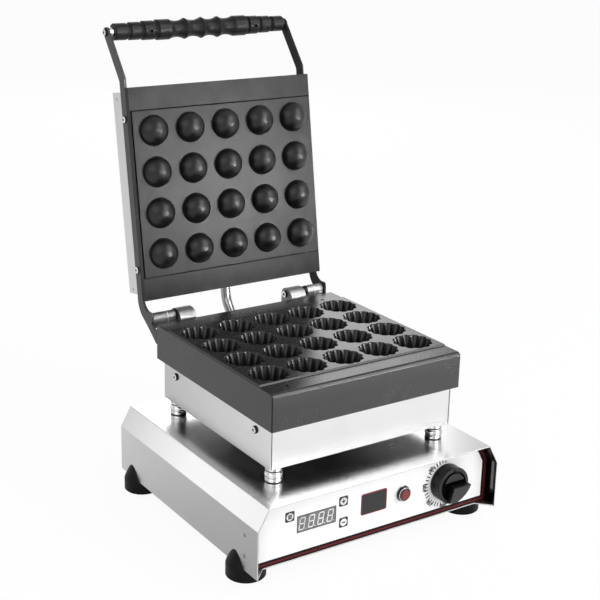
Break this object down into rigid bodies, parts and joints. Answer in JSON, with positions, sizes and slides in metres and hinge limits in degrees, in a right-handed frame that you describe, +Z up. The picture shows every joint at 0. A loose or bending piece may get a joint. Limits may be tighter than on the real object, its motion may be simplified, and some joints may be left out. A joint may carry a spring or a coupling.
{
  "type": "tartlet shell maker",
  "caption": "Countertop electric press for tartlet shells: fluted cups below, domes on a hinged lid, control panel on a sheet-metal base",
  "frame": {"origin": "on the table under the middle of the whole machine's box, lid open", "axes": "X to the right, Y to the back, Z up"},
  "size_m": [0.3364, 0.4263, 0.5352],
  "materials": {
    "stainless_sheet": "brushed",
    "polished_steel": "polished",
    "fastener_steel": "satin",
    "dark_casting": "dark non-stick coating",
    "dark_paint": "satin paint",
    "black_rubber": "matte",
    "black_plastic": "satin",
    "grip_plastic": "satin",
    "overlay_print": "printed film",
    "key_film": "gloss",
    "display_dark": "smooth",
    "red_lens": "clear gloss",
    "board_green": "matte",
    "wool": "fibrous",
    "cream_plastic": "matte",
    "conduit_metal": "braided sleeve"
  },
  "bodies": {
    "base": {"base_casing": "stainless_sheet", "front_panel": "stainless_sheet", "front_overlay": "overlay_print", "rear_panel": "stainless_sheet", "bottom_plate": "stainless_sheet", "bottom_screws": "fastener_steel", "foot_front_left": "black_rubber", "foot_front_right": "black_rubber", "foot_back_left": "black_rubber", "foot_back_right": "black_rubber", "foot_screws": "fastener_steel", "panel_rivets": "fastener_steel", "display_module": "display_dark", "timer_board": "board_green", "lamp_bezel": "polished_steel", "lamp_lens": "red_lens", "thermostat_body": "cream_plastic", "terminal_block": "cream_plastic", "power_relay": "cream_plastic", "cable_gland": "black_plastic", "standoffs": "polished_steel", "standoff_screws": "fastener_steel", "lower_box": "stainless_sheet", "element_clamp": "fastener_steel", "box_screws": "polished_steel", "lower_plate": "dark_casting", "lower_heating_element": "fastener_steel", "lower_insulation": "wool", "hinge_bracket_left": "fastener_steel", "hinge_bracket_right": "fastener_steel", "bracket_screws": "polished_steel", "hinge_pins": "polished_steel", "hinge_bushes": "black_plastic", "hinge_spacers": "fastener_steel", "conduit": "conduit_metal", "conduit_bush": "black_plastic"},
    "lid": {"upper_plate": "dark_casting", "lid_cover": "stainless_sheet", "cover_rivets": "fastener_steel", "upper_heating_element": "fastener_steel", "upper_insulation": "wool", "arm_left": "dark_paint", "arm_right": "dark_paint", "arm_spacers": "fastener_steel", "arm_screws": "polished_steel", "hinge_hubs": "fastener_steel", "handle_rod": "fastener_steel", "handle_screws": "polished_steel", "handle_spacers": "polished_steel", "handle_grip": "grip_plastic", "grip_pins": "polished_steel", "lid_gland": "black_plastic"},
    "knob": {"thermostat_knob": "black_plastic", "thermostat_shaft": "fastener_steel"},
    "key_set_cap": {"key_set": "key_film"},
    "key_plus_cap": {"key_plus": "key_film"},
    "key_minus_cap": {"key_minus": "key_film"}
  },
  "joints": [
    {"name": "lid_hinge", "type": "hinge", "parent": "base", "child": "lid", "pos_m": [0, 0.1001, 0.2003], "axis": [1, 0, 0], "range_deg": [0, 99], "deforming": ["conduit"]},
    {"name": "knob_turn", "type": "hinge", "parent": "base", "child": "knob", "pos_m": [0.0969, -0.1995, 0.0574], "axis": [0, -1, 0], "range_deg": [0, 270]},
    {"name": "key_set_press", "type": "slide", "parent": "base", "child": "key_set_cap", "axis": [0, 1, 0], "range_m": [0, 0.0005], "stiffness_N_per_m": 600, "springref_m": -0.001},
    {"name": "key_plus_press", "type": "slide", "parent": "base", "child": "key_plus_cap", "axis": [0, 1, 0], "range_m": [0, 0.0005], "stiffness_N_per_m": 600, "springref_m": -0.001},
    {"name": "key_minus_press", "type": "slide", "parent": "base", "child": "key_minus_cap", "axis": [0, 1, 0], "range_m": [0, 0.0005], "stiffness_N_per_m": 600, "springref_m": -0.001}
  ]
}
